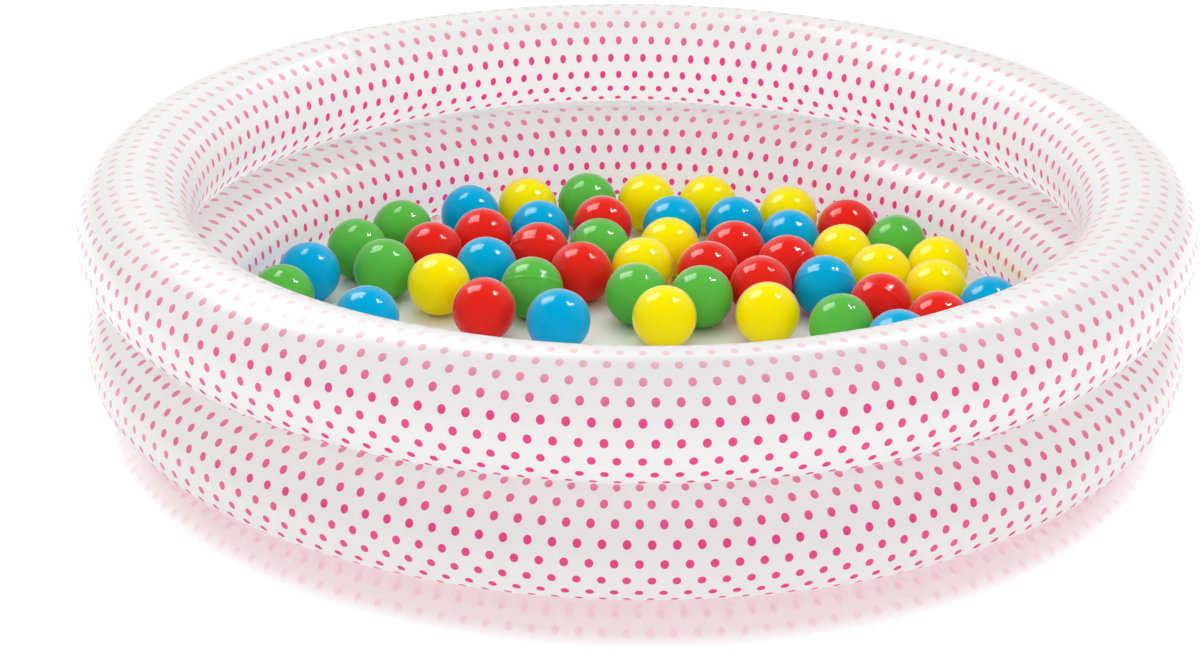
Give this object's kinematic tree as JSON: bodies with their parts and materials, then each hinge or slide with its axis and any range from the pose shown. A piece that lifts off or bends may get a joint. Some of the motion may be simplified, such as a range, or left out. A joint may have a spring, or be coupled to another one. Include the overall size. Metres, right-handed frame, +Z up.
{
  "type": "inflatable ball pit",
  "caption": "Round inflatable ball pit: two welded air rings on a floor sheet, each with a pop-out valve, holding loose hollow play balls in four colours.",
  "frame": {"origin": "middle of the floor sheet's underside, on the ground", "axes": "+Z up; the side that faces -Y is the front that the picture shows, and the two valves are at the back, +Y"},
  "size_m": [1.082, 1.082, 0.2257],
  "materials": {
    "ring_film": "gloss",
    "floor_film": "gloss",
    "valve": "satin",
    "ball_red": "gloss",
    "ball_yellow": "gloss",
    "ball_green": "gloss",
    "ball_blue": "gloss"
  },
  "bodies": {
    "pit": {"upper_ring": "ring_film", "lower_ring": "ring_film", "ring_weld_band": "ring_film", "floor_sheet": "floor_film", "upper_valve_flange": "valve", "lower_valve_flange": "valve"},
    "upper_stem": {"upper_valve_stem": "valve"},
    "upper_plug": {"upper_valve_plug": "valve"},
    "lower_stem": {"lower_valve_stem": "valve"},
    "lower_plug": {"lower_valve_plug": "valve"},
    "red_01": {"ball_red_01": "ball_red"},
    "red_02": {"ball_red_02": "ball_red"},
    "red_03": {"ball_red_03": "ball_red"},
    "red_04": {"ball_red_04": "ball_red"},
    "red_05": {"ball_red_05": "ball_red"},
    "red_06": {"ball_red_06": "ball_red"},
    "red_07": {"ball_red_07": "ball_red"},
    "red_08": {"ball_red_08": "ball_red"},
    "red_09": {"ball_red_09": "ball_red"},
    "red_10": {"ball_red_10": "ball_red"},
    "red_11": {"ball_red_11": "ball_red"},
    "red_12": {"ball_red_12": "ball_red"},
    "red_13": {"ball_red_13": "ball_red"},
    "yellow_01": {"ball_yellow_01": "ball_yellow"},
    "yellow_02": {"ball_yellow_02": "ball_yellow"},
    "yellow_03": {"ball_yellow_03": "ball_yellow"},
    "yellow_04": {"ball_yellow_04": "ball_yellow"},
    "yellow_05": {"ball_yellow_05": "ball_yellow"},
    "yellow_06": {"ball_yellow_06": "ball_yellow"},
    "yellow_07": {"ball_yellow_07": "ball_yellow"},
    "yellow_08": {"ball_yellow_08": "ball_yellow"},
    "yellow_09": {"ball_yellow_09": "ball_yellow"},
    "yellow_10": {"ball_yellow_10": "ball_yellow"},
    "yellow_11": {"ball_yellow_11": "ball_yellow"},
    "yellow_12": {"ball_yellow_12": "ball_yellow"},
    "yellow_13": {"ball_yellow_13": "ball_yellow"},
    "green_01": {"ball_green_01": "ball_green"},
    "green_02": {"ball_green_02": "ball_green"},
    "green_03": {"ball_green_03": "ball_green"},
    "green_04": {"ball_green_04": "ball_green"},
    "green_05": {"ball_green_05": "ball_green"},
    "green_06": {"ball_green_06": "ball_green"},
    "green_07": {"ball_green_07": "ball_green"},
    "green_08": {"ball_green_08": "ball_green"},
    "green_09": {"ball_green_09": "ball_green"},
    "green_10": {"ball_green_10": "ball_green"},
    "green_11": {"ball_green_11": "ball_green"},
    "green_12": {"ball_green_12": "ball_green"},
    "blue_01": {"ball_blue_01": "ball_blue"},
    "blue_02": {"ball_blue_02": "ball_blue"},
    "blue_03": {"ball_blue_03": "ball_blue"},
    "blue_04": {"ball_blue_04": "ball_blue"},
    "blue_05": {"ball_blue_05": "ball_blue"},
    "blue_06": {"ball_blue_06": "ball_blue"},
    "blue_07": {"ball_blue_07": "ball_blue"},
    "blue_08": {"ball_blue_08": "ball_blue"},
    "blue_09": {"ball_blue_09": "ball_blue"},
    "blue_10": {"ball_blue_10": "ball_blue"},
    "blue_11": {"ball_blue_11": "ball_blue"},
    "blue_12": {"ball_blue_12": "ball_blue"}
  },
  "joints": [
    {"name": "upper_stem_pop", "type": "slide", "parent": "pit", "child": "upper_stem", "axis": [-0.5, 0.866, 0], "range_m": [0, 0.012]},
    {"name": "upper_plug_pull", "type": "slide", "parent": "upper_stem", "child": "upper_plug", "axis": [-0.5, 0.866, 0], "range_m": [0, 0.012]},
    {"name": "lower_stem_pop", "type": "slide", "parent": "pit", "child": "lower_stem", "axis": [0.5, 0.866, 0], "range_m": [0, 0.012]},
    {"name": "lower_plug_pull", "type": "slide", "parent": "lower_stem", "child": "lower_plug", "axis": [0.5, 0.866, 0], "range_m": [0, 0.012]},
    {"name": "red_01_lift", "type": "slide", "parent": "pit", "child": "red_01", "axis": [0, 0, 1], "range_m": [0, 0.26]},
    {"name": "red_02_lift", "type": "slide", "parent": "pit", "child": "red_02", "axis": [0, 0, 1], "range_m": [0, 0.26]},
    {"name": "red_03_lift", "type": "slide", "parent": "pit", "child": "red_03", "axis": [0, 0, 1], "range_m": [0, 0.26]},
    {"name": "red_04_lift", "type": "slide", "parent": "pit", "child": "red_04", "axis": [0, 0, 1], "range_m": [0, 0.26]},
    {"name": "red_05_lift", "type": "slide", "parent": "pit", "child": "red_05", "axis": [0, 0, 1], "range_m": [0, 0.26]},
    {"name": "red_06_lift", "type": "slide", "parent": "pit", "child": "red_06", "axis": [0, 0, 1], "range_m": [0, 0.26]},
    {"name": "red_07_lift", "type": "slide", "parent": "pit", "child": "red_07", "axis": [0, 0, 1], "range_m": [0, 0.26]},
    {"name": "red_08_lift", "type": "slide", "parent": "pit", "child": "red_08", "axis": [0, 0, 1], "range_m": [0, 0.26]},
    {"name": "red_09_lift", "type": "slide", "parent": "pit", "child": "red_09", "axis": [0, 0, 1], "range_m": [0, 0.26]},
    {"name": "red_10_lift", "type": "slide", "parent": "pit", "child": "red_10", "axis": [0, 0, 1], "range_m": [0, 0.26]},
    {"name": "red_11_lift", "type": "slide", "parent": "pit", "child": "red_11", "axis": [0, 0, 1], "range_m": [0, 0.26]},
    {"name": "red_12_lift", "type": "slide", "parent": "pit", "child": "red_12", "axis": [0, 0, 1], "range_m": [0, 0.26]},
    {"name": "red_13_lift", "type": "slide", "parent": "pit", "child": "red_13", "axis": [0, 0, 1], "range_m": [0, 0.26]},
    {"name": "yellow_01_lift", "type": "slide", "parent": "pit", "child": "yellow_01", "axis": [0, 0, 1], "range_m": [0, 0.26]},
    {"name": "yellow_02_lift", "type": "slide", "parent": "pit", "child": "yellow_02", "axis": [0, 0, 1], "range_m": [0, 0.26]},
    {"name": "yellow_03_lift", "type": "slide", "parent": "pit", "child": "yellow_03", "axis": [0, 0, 1], "range_m": [0, 0.26]},
    {"name": "yellow_04_lift", "type": "slide", "parent": "pit", "child": "yellow_04", "axis": [0, 0, 1], "range_m": [0, 0.26]},
    {"name": "yellow_05_lift", "type": "slide", "parent": "pit", "child": "yellow_05", "axis": [0, 0, 1], "range_m": [0, 0.26]},
    {"name": "yellow_06_lift", "type": "slide", "parent": "pit", "child": "yellow_06", "axis": [0, 0, 1], "range_m": [0, 0.26]},
    {"name": "yellow_07_lift", "type": "slide", "parent": "pit", "child": "yellow_07", "axis": [0, 0, 1], "range_m": [0, 0.26]},
    {"name": "yellow_08_lift", "type": "slide", "parent": "pit", "child": "yellow_08", "axis": [0, 0, 1], "range_m": [0, 0.26]},
    {"name": "yellow_09_lift", "type": "slide", "parent": "pit", "child": "yellow_09", "axis": [0, 0, 1], "range_m": [0, 0.26]},
    {"name": "yellow_10_lift", "type": "slide", "parent": "pit", "child": "yellow_10", "axis": [0, 0, 1], "range_m": [0, 0.26]},
    {"name": "yellow_11_lift", "type": "slide", "parent": "pit", "child": "yellow_11", "axis": [0, 0, 1], "range_m": [0, 0.26]},
    {"name": "yellow_12_lift", "type": "slide", "parent": "pit", "child": "yellow_12", "axis": [0, 0, 1], "range_m": [0, 0.26]},
    {"name": "yellow_13_lift", "type": "slide", "parent": "pit", "child": "yellow_13", "axis": [0, 0, 1], "range_m": [0, 0.26]},
    {"name": "green_01_lift", "type": "slide", "parent": "pit", "child": "green_01", "axis": [0, 0, 1], "range_m": [0, 0.26]},
    {"name": "green_02_lift", "type": "slide", "parent": "pit", "child": "green_02", "axis": [0, 0, 1], "range_m": [0, 0.26]},
    {"name": "green_03_lift", "type": "slide", "parent": "pit", "child": "green_03", "axis": [0, 0, 1], "range_m": [0, 0.26]},
    {"name": "green_04_lift", "type": "slide", "parent": "pit", "child": "green_04", "axis": [0, 0, 1], "range_m": [0, 0.26]},
    {"name": "green_05_lift", "type": "slide", "parent": "pit", "child": "green_05", "axis": [0, 0, 1], "range_m": [0, 0.26]},
    {"name": "green_06_lift", "type": "slide", "parent": "pit", "child": "green_06", "axis": [0, 0, 1], "range_m": [0, 0.26]},
    {"name": "green_07_lift", "type": "slide", "parent": "pit", "child": "green_07", "axis": [0, 0, 1], "range_m": [0, 0.26]},
    {"name": "green_08_lift", "type": "slide", "parent": "pit", "child": "green_08", "axis": [0, 0, 1], "range_m": [0, 0.26]},
    {"name": "green_09_lift", "type": "slide", "parent": "pit", "child": "green_09", "axis": [0, 0, 1], "range_m": [0, 0.26]},
    {"name": "green_10_lift", "type": "slide", "parent": "pit", "child": "green_10", "axis": [0, 0, 1], "range_m": [0, 0.26]},
    {"name": "green_11_lift", "type": "slide", "parent": "pit", "child": "green_11", "axis": [0, 0, 1], "range_m": [0, 0.26]},
    {"name": "green_12_lift", "type": "slide", "parent": "pit", "child": "green_12", "axis": [0, 0, 1], "range_m": [0, 0.26]},
    {"name": "blue_01_lift", "type": "slide", "parent": "pit", "child": "blue_01", "axis": [0, 0, 1], "range_m": [0, 0.26]},
    {"name": "blue_02_lift", "type": "slide", "parent": "pit", "child": "blue_02", "axis": [0, 0, 1], "range_m": [0, 0.26]},
    {"name": "blue_03_lift", "type": "slide", "parent": "pit", "child": "blue_03", "axis": [0, 0, 1], "range_m": [0, 0.26]},
    {"name": "blue_04_lift", "type": "slide", "parent": "pit", "child": "blue_04", "axis": [0, 0, 1], "range_m": [0, 0.26]},
    {"name": "blue_05_lift", "type": "slide", "parent": "pit", "child": "blue_05", "axis": [0, 0, 1], "range_m": [0, 0.26]},
    {"name": "blue_06_lift", "type": "slide", "parent": "pit", "child": "blue_06", "axis": [0, 0, 1], "range_m": [0, 0.26]},
    {"name": "blue_07_lift", "type": "slide", "parent": "pit", "child": "blue_07", "axis": [0, 0, 1], "range_m": [0, 0.26]},
    {"name": "blue_08_lift", "type": "slide", "parent": "pit", "child": "blue_08", "axis": [0, 0, 1], "range_m": [0, 0.26]},
    {"name": "blue_09_lift", "type": "slide", "parent": "pit", "child": "blue_09", "axis": [0, 0, 1], "range_m": [0, 0.26]},
    {"name": "blue_10_lift", "type": "slide", "parent": "pit", "child": "blue_10", "axis": [0, 0, 1], "range_m": [0, 0.26]},
    {"name": "blue_11_lift", "type": "slide", "parent": "pit", "child": "blue_11", "axis": [0, 0, 1], "range_m": [0, 0.26]},
    {"name": "blue_12_lift", "type": "slide", "parent": "pit", "child": "blue_12", "axis": [0, 0, 1], "range_m": [0, 0.26]}
  ]
}
